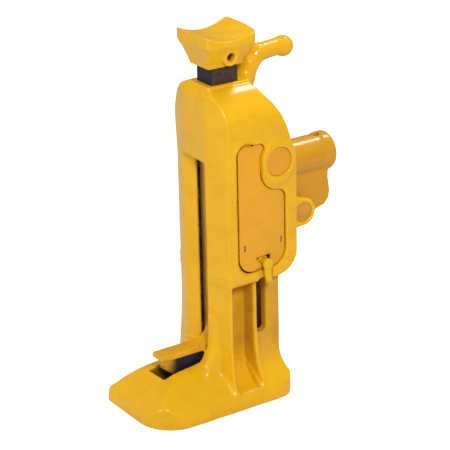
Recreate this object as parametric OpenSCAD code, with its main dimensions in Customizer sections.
// Toe jack (ratchet rack jack). Units mm, +Z up, origin on the ground under the rack bar.
// The lifting toe faces -Y, the cover plate is on +X, the lever socket opens towards +Y.
// Drawn two notches above fully lowered, with the holding pawl home in the rack.

/* [Rack and toe] */
// Width of the rack bar across X
rack_w = 38; // [37:0.5:38.5]
// Depth of the rack bar along Y
rack_d = 43; // [42.5:0.5:43]
// Depth of a ratchet notch
tooth_depth = 6; // [5:0.5:6.5]
// Height of the toe's lifting face above the ground as drawn
toe_top = 85; // [84:0.5:88]
// How far the toe reaches in front of the rack axis
toe_reach = 115; // [100:1:115]
// Width of the toe's top plate
toe_w = 26; // [22:1:27]

/* [Housing] */
// Width of the base plate
base_w = 160; // [150:1:170]
// Distance from the rack axis to the front edge of the base
base_front = 162; // [150:1:170]
// Distance from the rack axis to the back edge of the base
base_back = 77; // [74:1:86]
// Width of the upright body
body_w = 131; // [128:1:134]
// Height of the neck the rack bar comes out of
neck_top = 474; // [470:1:476]
// Top of the front slot the toe runs in
slot_top = 365; // [355:1:370]

/* [Head] */
// Width of the head cap
cap_w = 80; // [76:1:82]
// Height of the head cap's front lip
cap_top = 549; // [546:1:552]

/* [Lever] */
// Outside diameter of the lever socket
tube_d = 54; // [52:1:56]
// Diameter of the bore for the lever bar
bar_d = 35; // [32:0.5:38]
// Depth of the bore for the lever bar
bar_depth = 82; // [70:1:84]

/* [Hidden] */
$fn = 48;

// rack bar and head
pitch = 250 / 24;             // ratchet notch spacing
notch_z = 372.3 + 2 * pitch;  // flat of the notch the holding pawl stands in
rack_top = 524;
channel_gap = 0.5;            // round the bar in the housing
cap_gap = 0.3;                // round the bar in the head cap
toe_half = 13.5;              // half width of the toe's body
head_pin_at = [2, 512.5];
head_pin_r = 6;

// housing
body_half = body_w / 2;
base_half = base_w / 2;
body_front = -41;
box_half = 68;                // outer face of the mechanism box
chamber_floor = 200;
ledge_top = 320.5;            // seat of the holding pawl spring
cover_x = 61;                 // inner face of the cover plate
clip_ys = [-2.3, 59.9];       // clips and rivets of the cover
rivet_z = 254;

// axes along X, as [y, z]
lever_y = 115;
lever_z = 262;
lever_axis = [lever_y, lever_z];
lift_pin = lever_axis - 48 * [cos(18), sin(18)];
hold_y = 54;
hold_z = 360.5;
hold_pin = [hold_y, hold_z];
release_y = 31;
release_z = 213;
release_axis = [release_y, release_z];
crank_hole = release_axis + 10.83 * [cos(17), sin(17)];
tail_hole = hold_pin + [20, 3];

// lever, pins and linkage
tube_z = 331;                 // axis of the lever socket
tube_back = 187;
seat_z = 284;                 // seat of the leaf spring
leaf_screw_at = [0, 100];
leaf_screw_r = 3;
lever_pin_r = 13;
lever_key_r = 4;
lever_key_at = [0, lever_y];
bush_r = 15;
lift_pin_r = 8;
hold_pin_r = 10;
plug_r = 21;
plug_x = 66;                  // inner face of the pin plugs
pawl_half = 10;               // half width of both pawls
release_r = 6;
crank_key_at = [31.5, release_y];
crank_key_hole_r = 1.6;
rod_r = 3;
rod_hole_r = 3.8;
rod_x = 39.5;                 // plane the sloping part of the rod lies in

enamel = [0.91, 0.68, 0.16];
steel = [0.30, 0.30, 0.33];
bright = [0.62, 0.62, 0.64];
bronze = [0.66, 0.48, 0.24];

// ---- helpers
// prisms from side (YZ), front (XZ) and plan (XY) outlines
module side(x0, x1) translate([x0, 0, 0]) rotate([90, 0, 90]) linear_extrude(x1 - x0) children();
module front(y0, y1) translate([0, y1, 0]) rotate([90, 0, 0]) linear_extrude(y1 - y0) children();
module plan(z0, z1) translate([0, 0, z0]) linear_extrude(z1 - z0) children();

// cylinders along an axis; at is the place on the other two axes, in XYZ order
module cyl_x(r, x0, x1, at)
  translate([x0, at[0], at[1]]) rotate([0, 90, 0]) cylinder(r = r, h = x1 - x0);
module cyl_y(r, y0, y1, at)
  translate([at[0], y0, at[1]]) rotate([-90, 0, 0]) cylinder(r = r, h = y1 - y0);
module cyl_z(r, z0, z1, at) translate([at[0], at[1], z0]) cylinder(r = r, h = z1 - z0);
module tube_x(outer_r, inner_r, x0, x1, at) difference() {
  cyl_x(outer_r, x0, x1, at);
  cyl_x(inner_r, x0 - 1, x1 + 1, at);
}

// block from its [from, to] range on each axis
module box(x, y, z) translate([x[0], y[0], z[0]]) cube([x[1] - x[0], y[1] - y[0], z[1] - z[0]]);

// rectangle; radii are bottom-left, bottom-right, top-right, top-left
module rounded(x0, x1, y0, y1, radii) {
  a = radii[0];
  b = radii[1];
  c = radii[2];
  d = radii[3];
  polygon([[x0, y0 + a], [x0 + a, y0], [x1 - b, y0], [x1, y0 + b],
    [x1, y1 - c], [x1 - c, y1], [x0 + d, y1], [x0, y1 - d]]);
  translate([x0 + a, y0 + a]) circle(r = a);
  translate([x1 - b, y0 + b]) circle(r = b);
  translate([x1 - c, y1 - c]) circle(r = c);
  translate([x0 + d, y1 - d]) circle(r = d);
}

// the children and their mirror image across X = 0
module both() {
  children();
  mirror([1, 0, 0]) children();
}

// closes a right-hand half outline with its mirror image
function symmetric(half) =
  concat(half, [for (i = [len(half) - 1 : -1 : 0]) [-half[i][0], half[i][1]]]);

// open-wound rings joined by short risers on alternate sides
module coil(radius, wire_r, rise, turns) {
  for (k = [0 : turns - 1]) translate([0, 0, wire_r + k * rise])
    rotate_extrude($fn = 24) translate([radius, 0]) circle(r = wire_r, $fn = 16);
  for (k = [0 : turns - 2]) translate([k % 2 == 0 ? radius : -radius, 0, wire_r + k * rise])
    cylinder(r = wire_r * 0.7, h = rise);
}

// ---- housing
module base_solid() intersection() {
  plan(0, 100) rounded(-base_half, base_half, -base_front, base_back, [24, 54, 31, 31]);
  side(-100, 100) polygon([[-base_front, 0], [base_back, 0], [base_back, 14], [73, 26],
    [62, 42], [50, 62], [44, 90], [-40, 90], [-46, 72], [-60, 65], [-100, 58], [-118, 52],
    [-136, 41], [-150, 27], [-158, 16], [-base_front, 7]]);
  front(-200, 200) polygon(symmetric([[base_half, 0], [base_half, 10], [74, 22], [60, 37],
    [44, 49], [30, 58], [22, 64], [10, 90]]));
}

// plan outline of the body, its front corners slanted back
module facet_outline(back)
  polygon(symmetric([[24, body_front], [body_half, -29], [body_half, back]]));

module body_solid() {
  shoulder_r = 52;
  shoulder_z = 421.5;
  shoulder_x = body_half - shoulder_r;
  intersection() {
    plan(0, neck_top) facet_outline(100);
    side(-100, 100) polygon([[body_front, 0], [body_front, 452], [-38, 464], [-33, neck_top],
      [36, neck_top], [44, 456], [54, 443], [63, 427], [71, 407], [77, 391], [81, 372],
      [84, 350], [84, 226], [80, 210], [68, 196], [56, 190], [56, 0]]);
    front(-200, 200) union() {
      translate([-body_half, 0]) square([body_w, shoulder_z]);
      both() translate([shoulder_x, shoulder_z]) circle(r = shoulder_r);
      translate([-shoulder_x, 0]) square([2 * shoulder_x, shoulder_z + shoulder_r]);
      translate([-27, 0]) square([54, neck_top]);
    }
  }
}

// right half of a front outline that flares from top_x at a height to foot_x at the base
module flare(top_x, foot_x, height) difference() {
  polygon([[0, 8], [foot_x, 8], [foot_x, 16], [top_x, height], [0, height]]);
  translate([top_x + 1.15 * height, height]) circle(r = 1.15 * height);
}

module lower_solid() {
  // front flange, core, side ribs and back column
  plan(10, 195) {
    facet_outline(-19);
    translate([-32, -30]) square([64, 66]);
    both() {
      translate([30, 15.5]) square([24.5, 7]);
      translate([54.5, 19]) circle(r = 3.5);
    }
    translate([-49, 30]) square([98, 31]);
    translate([-44, 30]) square([88, 36]);
    both() translate([44, 61]) circle(r = 5);
  }
  // flared feet of the flange, the ribs and the back column
  both() {
    intersection() {
      front(-60, 100) flare(body_half, 79, 110);
      plan(8, 180) polygon([[-1, body_front], [24, body_front], [80, -24.8], [80, -16],
        [-1, -16]]);
    }
    front(15.5, 22.5) flare(58, 79, 112);
    front(41, 60) flare(49, 74, 66);
  }
  // back foot
  side(-42, 42) difference() {
    polygon([[30, 8], [76, 8], [76, 14], [66, 66], [30, 66]]);
    translate([66 + 60, 66]) circle(r = 60);
  }
  // front foot either side of the slot
  side(-44, 44) difference() {
    polygon([[-66, 8], [-66, 62], [body_front, 112], [-20, 112], [-20, 8]]);
    translate([body_front - 50, 112]) circle(r = 50);
  }
}

// bent round bar from the back of the neck, with a ball at its end
module horn() {
  path = [[36, 444], [44, 470], [52, 487], [66, 499], [106, 502]];  // [y, z]
  bar_radii = [15.5, 14.3, 13.4, 12.6];
  joint_radii = [15, 14, 13.2];
  for (i = [0 : 3]) {
    run = path[i + 1] - path[i];
    translate([0, path[i][0], path[i][1]]) rotate([atan2(run[1], run[0]), 0, 0])
      rotate([-90, 0, 0]) cylinder(r = bar_radii[i], h = norm(run));
  }
  for (i = [0 : 2]) translate([0, path[i + 1][0], path[i + 1][1]]) sphere(r = joint_radii[i]);
  translate([0, 111, 501.5]) sphere(r = 15.3);
}

// ear that carries one end of the lever pin
module ear() {
  ear_r = 21;
  cyl_x(ear_r, 27, 43, lever_axis);
  side(27, 43) polygon([[76, 238], lever_axis - [0, ear_r], lever_axis + [0, ear_r], [76, 296]]);
}

// oval boss of the holding pawl pin
module pin_boss(x0) {
  boss_r = 27.5;
  outer_x = 70;
  above = 5;
  below = 6;
  cyl_x(boss_r, x0, outer_x, hold_pin + [0, above]);
  cyl_x(boss_r, x0, outer_x, hold_pin - [0, below]);
  box([x0, outer_x], [hold_y - boss_r, hold_y + boss_r], [hold_z - below, hold_z + above]);
}

// outline of the side cover, grown for the recess it lies in
module cover_outline(grow) {
  y0 = -11.4 - grow;
  z0 = 203.5 - grow;
  difference() {
    union() {
      rounded(y0, 31 + grow, z0, 391.8 + grow, [22, 5, 9, 14]);
      rounded(y0, 65.7 + grow, z0, 318.6 + grow, [22, 27, 14, 5]);
      translate([y0, 240]) square([63 + 2 * grow, 91]);
    }
    translate([55, 348]) circle(r = 29.5 - grow);
    translate([54.5, 366]) circle(r = 29 - grow);
    translate([25.8 + grow, 348]) square([28, 18]);
  }
}

module outer_solid() {
  base_solid();
  difference() {
    body_solid();
    box([-100, 100], [-13, 100], [-10, 190]);
  }
  lower_solid();
  // mechanism box
  side(-box_half, box_half) union() {
    rounded(-22, 85.5, 188.5, 386, [12, 33, 30, 20]);
    rounded(-22, 31, 250, 404, [5, 5, 16, 22]);
  }
  both() pin_boss(30);
  both() ear();
  // back hood over the lever opening
  side(-40, 40) polygon([[70, 296], [93, 296], [93, 372], [88, 392], [70, 408]]);
  horn();
}

module rack_and_toe_cuts() {
  channel_x = rack_w / 2 + channel_gap;
  channel_y = rack_d / 2 + channel_gap;
  // channel of the rack bar, closed at the foot
  box([-channel_x, channel_x], [-channel_y, channel_y], [7, 480]);
  // front slot and its bevelled edges
  side(-16.5, 16.5) polygon([[-70, 12], [-20, 12], [-20, slot_top], [-70, slot_top]]);
  plan(80, slot_top + 2) polygon([[-38, -42], [24, -42], [24, body_front], [16.6, -29.5],
    [-16.6, -29.5], [-38, -37]]);
  // well of the toe
  box([-24.5, 24.5], [-70, -40.9], [60, 110]);
  box([-19.4, 19.4], [-116, -30], [12, 95]);
  box([-20.5, 20.5], [-58, -36], [12, 78]);
}

module mechanism_cuts() {
  recess_x = cover_x - 0.5;
  // chamber, open to +X
  side(-57, cover_x) rounded(-12, 74, chamber_floor, 386, [8, 20, 6, 10]);
  // recess of the cover and the notch below it for the release lever
  side(recess_x, 90) cover_outline(0.4);
  side(recess_x, 90) polygon([[17, 205], [21, 180], [41, 180], [43, 205]]);
  // space behind the rack bar
  box([-36, 36], [22, 84.5], [290, 386]);
  box([30, 43.6], [22, 78.4], [290, 371]);
  // lever opening
  box([-27, 27], [60, 150], [205, 300]);
  // ear bores
  cyl_x(bush_r, -50, 50, lever_axis);
}

module cored_hollows() {
  // dome, in two steps
  side(-52, 52) polygon([[-12, 370], [-12, 405], [58, 405], [60, 400], [64, 370]]);
  side(-42, 42) polygon([[-12, 400], [-12, 446], [20, 446], [38, 436], [50, 420], [60, 400]]);
  // front corners
  both() box([25, 48], [-25, -8], [206, 405]);
  // back column
  box([-36, 36], [36, 54], [22, 210]);
  // underside
  both() front(-126, 56) polygon([[27, -1], [66, -1], [66, 8], [56, 21], [44, 33], [30, 40],
    [27, 40]]);
  // flanks of the lower column
  both() front(23.5, 41) rounded(28, 80, 100, 188, [8, 3, 3, 3]);
}

// walls and bosses that stand inside the chamber
module chamber_walls() {
  // bosses that carry the holding pawl pin
  difference() {
    both() pin_boss(44);
    box([-100, 100], [-100, 22.5], [300, 420]);
  }
  // wall joining the +X boss to the back of the box
  box([44, cover_x], [66, 80], [332, 374]);
  // lug that carries the release shaft
  box([44, 56], [release_y - 10, release_y + 10], [195, release_z]);
  cyl_x(10, 44, 56, release_axis);
  // ledge under the holding pawl spring
  box([-10, 10], [62, 86], [ledge_top - 10, ledge_top]);
}

module housing() color(enamel) difference() {
  union() {
    difference() {
      outer_solid();
      rack_and_toe_cuts();
      mechanism_cuts();
      cored_hollows();
    }
    chamber_walls();
  }
  // holding pawl pin, with a pocket for a plug at each end
  cyl_x(hold_pin_r + 0.05, -80, 80, hold_pin);
  both() cyl_x(plug_r, plug_x, 80, hold_pin);
  // release shaft
  cyl_x(release_r + 0.06, 30, 90, release_axis);
}

// ---- rack bar with its toe
module toe() {
  plate_under = toe_top - 8;
  fillet_r = 22;
  fillet_y = -43.5;
  // body under the lifting plate
  intersection() {
    side(-toe_half, toe_half) polygon([[-20, 42], [-70, 46], [-98, 54], [-107, 62],
      [-109, toe_top - 6], [-20, toe_top - 6]]);
    plan(30, 200) union() {
      translate([-toe_half, -96]) square([2 * toe_half, 80]);
      translate([0, -95.5]) circle(r = toe_half);
    }
  }
  // lifting plate
  side(-toe_w / 2, toe_w / 2) polygon([[-toe_reach, toe_top - 7], [-toe_reach, toe_top],
    [-20, toe_top], [-20, plate_under], [-109, plate_under]]);
  // guide that runs behind the slot's edges
  box([-19, 19], [-46, -39.2], [52, 80]);
  box([-toe_half, toe_half], [-42, -20], [52, 80]);
  // root fillet up the front of the bar
  difference() {
    side(-toe_half, toe_half) polygon([[fillet_y, plate_under], [fillet_y, toe_top],
      [-20, toe_top + fillet_r], [-20, plate_under]]);
    cyl_x(fillet_r, -20, 20, [fillet_y, toe_top + fillet_r]);
  }
}

// ratchet notches on the back face
module notches() {
  face = rack_d / 2;
  root = face - tooth_depth;
  side(-30, 30) for (k = [-4 : 34]) {
    flat = notch_z - k * pitch;
    polygon([[face + 1, flat], [root, flat], [root, flat - 3.2], [face, flat - 8.6],
      [face + 1, flat - 8.6]]);
  }
}

module rack_bar() color(steel) difference() {
  union() {
    box([-rack_w / 2, rack_w / 2], [-rack_d / 2, rack_d / 2], [30, rack_top]);
    toe();
  }
  notches();
  cyl_x(head_pin_r + 0.05, -30, 30, head_pin_at);
}

// ---- head cap and its pin
module head_cap() color(enamel) difference() {
  socket_x = rack_w / 2 + cap_gap;
  socket_y = rack_d / 2 + cap_gap;
  union() {
    intersection() {
      side(-60, 60) polygon([[-30.5, 498], [-31.5, 506], [-35, 518], [-41, 533], [-41, cap_top],
        [43, cap_top], [43, 531], [34, 516], [28.5, 506], [27, 498]]);
      front(-60, 60) polygon(symmetric([[25, 498], [27, 506], [cap_w / 2, 531],
        [cap_w / 2, cap_top + 2]]));
      plan(490, cap_top + 2) rounded(-cap_w / 2, cap_w / 2, -41, 43, [5, 5, 12, 6]);
    }
    cyl_x(13, -33, 33, head_pin_at);
  }
  // saddle hollow, axis along X
  cyl_x(83, -60, 60, [0, 620.2], $fn = 120);
  // socket for the rack bar
  box([-socket_x, socket_x], [-socket_y, socket_y], [490, rack_top + cap_gap]);
  cyl_x(head_pin_r + 0.1, -40, 40, head_pin_at);
}

module head_pin() color(bright) cyl_x(head_pin_r, -24.5, 24.5, head_pin_at);

// ---- side cover
module cover_plate() color(enamel) difference() {
  side(cover_x, cover_x + 3) cover_outline(0);
  side(50, 80) {
    // opening of the release lever, leaving a curled lug
    polygon([[15.5, 222.5], [40.5, 224], [42, 190], [24.2, 190], [24.2, 213], [20, 215.5]]);
    polygon([[16, 198], [16.5, 205.2], [25.5, 205.6], [25.5, 198]]);
    // slots at the front, back and top edges
    translate([-3.7, 236]) square([2.8, 10]);
    translate([58.6, 236.5]) square([2.6, 9.5]);
    translate([3.6, 389.8]) square([11.4, 5]);
  }
  for (y = clip_ys) cyl_x(1.6, 50, 80, [y, rivet_z]);
}

// spring clips behind the cover, each with a nose in a slot
module cover_clips() color(bright) for (y = clip_ys) {
  difference() {
    side(59.7, 60.95) translate([y - 5, 234]) square([9.6, 26]);
    cyl_x(1.6, 50, 80, [y, rivet_z]);
  }
  side(59.8, 62.8) translate([y - 0.7, 237.5]) square([1.4, 7]);
}

module cover_rivets() color(enamel) for (y = clip_ys) {
  cyl_x(1.55, 58.9, 64, [y, rivet_z]);
  cyl_x(2.8, 58.9, 59.65, [y, rivet_z]);
}

// ---- lever
module lever_solid() {
  hub_r = 20.5;
  // socket tube, its collar and the narrower ends
  cyl_y(tube_d / 2, 98, 184, [0, tube_z]);
  cyl_y(tube_d / 2 + 1.5, 174, 184, [0, tube_z]);
  cyl_y(tube_d / 2 - 3, 96, tube_back, [0, tube_z]);
  // web from the tube down to the hub
  side(-20, 20) polygon([[100, tube_z - 10], [181, tube_z - 10], [179, 312], [177, 305],
    [176.5, 295], [178, 284], [179, 273], [177, 263], [170, 254.5], [157, 248.5],
    [140, 245.5], lever_axis - [0, 20], [99, 252], [97, 262], [100, 300]]);
  cyl_x(hub_r, -26, 26, lever_axis);
  // fork that carries the lifting pawl
  both() {
    side(10.6, 24) polygon([lever_axis + [0, -20], lift_pin + [2, -14], lift_pin + [-8, 12],
      lever_axis + [-22, 16], lever_axis + [0, 20]]);
    cyl_x(14, 10.6, 24, lift_pin);
  }
  // seat of the pawl spring
  side(-20, 20) polygon([[92, 262], [92, seat_z], [108, seat_z], [108, 262]]);
}

module lever_socket() color(enamel) difference() {
  lever_solid();
  // bore for the lever bar, open at the back
  cyl_y(bar_d / 2, tube_back - bar_depth, 210, [0, tube_z]);
  // hole through the top of the socket
  cyl_z(5, tube_z, 370, [0, 168]);
  // bores of the fulcrum pin and the pawl pin
  cyl_x(lever_pin_r + 0.05, -40, 40, lever_axis);
  cyl_x(lift_pin_r + 0.02, -40, 40, lift_pin);
  // room for the pawl between the fork cheeks
  side(-10.5, 10.5) polygon([[40, 200], [91.5, 200], [91.5, 290], [40, 290]]);
  // bores of the locking key and the leaf screw
  cyl_z(lever_key_r, 225, lever_z + 18, lever_key_at);
  cyl_z(leaf_screw_r, 266, 294, leaf_screw_at);
  // sunk seat of the pawl spring
  box([-9, 9], [90, 107.6], [seat_z, 291]);
}

module lever_pin() color(bright) difference() {
  cyl_x(lever_pin_r, -40.4, 40.4, lever_axis);
  cyl_z(lever_key_r, 230, 300, lever_key_at);
}

module lever_bushes() color(bronze)
  both() tube_x(bush_r, lever_pin_r + 0.06, 27, 40.6, lever_axis);

module lever_pin_key() color(steel) cyl_z(lever_key_r, 241, lever_z + 17.9, lever_key_at);

// ---- lifting pawl on the lever's fork
module lifting_pawl() color(steel) difference() {
  union() {
    cyl_x(13, -pawl_half, pawl_half, lift_pin);
    side(-pawl_half, pawl_half) polygon([[24.3, 272], [24.3, 269.2], [31, 263.2], [40, 252],
      lift_pin + [-9, -9.4], lift_pin + [8, 10.2], [60, 265], [48, 271.5], [34, 273.5]]);
  }
  cyl_x(lift_pin_r + 0.06, -20, 20, lift_pin);
}

// pin with a ring groove near each end
module lifting_pawl_pin() color(bright) difference() {
  cyl_x(lift_pin_r, -26.4, 26.4, lift_pin);
  both() tube_x(12, 7, 24.5, 25.8, lift_pin);
}

// retaining rings, open at the bottom
module lifting_pawl_rings() color(steel) both() difference() {
  tube_x(10.5, 7.05, 24.6, 25.7, lift_pin);
  box([23, 27], lift_pin[0] + 2.5 * [-1, 1][0] == 0 ? [0, 0] :
    [lift_pin[0] - 2.5, lift_pin[0] + 2.5], [lift_pin[1] - 14, lift_pin[1] - 4]);
}

// leaf that presses the pawl towards the rack, clamped on the lever's seat
module lifting_pawl_spring() color(steel) difference() {
  side(-8, 8) polygon([[91.3, seat_z], [107, seat_z], [107, 285.6], [90.8, 285.6],
    [77.5, 276.5], [66, 266.3], [61, 266.2], [61, 264.8], [66.6, 264.9], [78.6, 275.2]]);
  cyl_z(leaf_screw_r + 0.05, 270, 290, leaf_screw_at);
}

module leaf_screw() color(bright) {
  cyl_z(leaf_screw_r, 267, 285.6, leaf_screw_at);
  cyl_z(5, 285.6, 289.2, leaf_screw_at);
}

// ---- holding pawl, drawn home in the rack
module holding_pawl() color(steel) difference() {
  tip_z = notch_z - 3.35;
  tail_y = tail_hole[0];
  tail_z = tail_hole[1];
  union() {
    cyl_x(16, -pawl_half, pawl_half, hold_pin);
    // nose
    side(-pawl_half, pawl_half) polygon([[18.9, tip_z], [18.9, notch_z - 5.9],
      [22.2, notch_z - 8.9], [26, notch_z - 13], [31, hold_z + 6], hold_pin + [-8, -13.4],
      hold_pin + [12, 10], [40, hold_z + 22], [31, tip_z]]);
    // tail, with a block under it for the spring
    side(-pawl_half, pawl_half) polygon([hold_pin + [-2, -15], hold_pin + [11, -6],
      tail_hole - [0, 7.5], tail_hole + [0, 7.5], hold_pin + [9, 13]]);
    cyl_x(7.5, -pawl_half, pawl_half, tail_hole);
    box([-8, 8], [hold_y + 14, tail_y + 7], [tail_z - 9, tail_z - 1]);
  }
  cyl_x(hold_pin_r + 0.06, -20, 20, hold_pin);
  cyl_x(rod_hole_r, -20, 20, tail_hole);
}

module holding_pawl_pin() color(bright) cyl_x(hold_pin_r, -64.6, 64.6, hold_pin);

module holding_pawl_spacers() color(bright)
  both() tube_x(14, hold_pin_r + 0.2, 10.3, 43.8, hold_pin);

// plugs pressed in over the pin ends
module pin_plugs() color(enamel) both() cyl_x(plug_r, plug_x, box_half, hold_pin);

module holding_pawl_spring() color(steel)
  translate([0, 75, ledge_top]) coil(radius = 4.6, wire_r = 0.9, rise = 5.3, turns = 7);

// ---- release gear
module release_lever() color(enamel) difference() {
  union() {
    cyl_x(release_r, 28, 69, release_axis);
    // handle outside the cover
    cyl_x(8, 69, 74, release_axis);
    side(69, 74) translate([release_y, 0])
      polygon(symmetric([[4, 186], [5.3, 190], [7, release_z]]));
    box([69, 77], [release_y - 5, release_y + 5], [186, 189]);
    // collar on the shaft
    cyl_x(8.5, 56.4, 59, release_axis);
  }
  cyl_z(crank_key_hole_r, 200, 230, crank_key_at);
}

module release_crank() color(steel) difference() {
  union() {
    cyl_x(10, 28, 35, release_axis);
    cyl_x(7, 28, 35, crank_hole);
    side(28, 35) polygon([release_axis + [-2.7, 9.6], crank_hole + [-2, 6.7],
      crank_hole + [2, -6.7], release_axis + [2.7, -9.6]]);
  }
  cyl_x(release_r + 0.02, 20, 40, release_axis);
  cyl_x(rod_hole_r, 20, 40, crank_hole);
  cyl_z(crank_key_hole_r, 200, 230, crank_key_at);
}

module release_crank_key() color(bright)
  cyl_z(1.58, release_z - 9, release_z + 9, crank_key_at);

// bent wire rod between the crank and the holding pawl's tail
module release_rod() color(bright) {
  run = tail_hole - crank_hole;
  cyl_x(rod_r, 24.5, rod_x, crank_hole);
  translate([rod_x, crank_hole[0], crank_hole[1]]) rotate([-atan2(run[0], run[1]), 0, 0])
    cylinder(r = rod_r, h = norm(run));
  cyl_x(rod_r, -12.6, rod_x, tail_hole);
  for (bend = [crank_hole, tail_hole]) translate([rod_x, bend[0], bend[1]]) sphere(r = 3.2);
}

module release_rod_rings() color(steel) {
  tube_x(5.5, rod_r + 0.02, 25.6, 26.8, crank_hole);
  tube_x(5.5, rod_r + 0.02, -11.9, -10.7, tail_hole);
}

// torsion spring round the release shaft, its leg standing on the chamber floor
module release_spring() color(steel) {
  radius = 6.6;
  translate([36.5, release_y, release_z]) rotate([0, 90, 0]) rotate([0, 0, 180])
    coil(radius, wire_r = 0.5, rise = 2.2, turns = 3);
  cyl_z(0.45, chamber_floor + 0.05, release_z, [37, release_y - radius]);
}

housing();
rack_bar();
head_cap();
head_pin();
cover_plate();
cover_clips();
cover_rivets();
lever_socket();
lever_pin();
lever_bushes();
lever_pin_key();
lifting_pawl();
lifting_pawl_pin();
lifting_pawl_rings();
lifting_pawl_spring();
leaf_screw();
holding_pawl();
holding_pawl_pin();
holding_pawl_spacers();
pin_plugs();
holding_pawl_spring();
release_lever();
release_crank();
release_crank_key();
release_rod();
release_rod_rings();
release_spring();
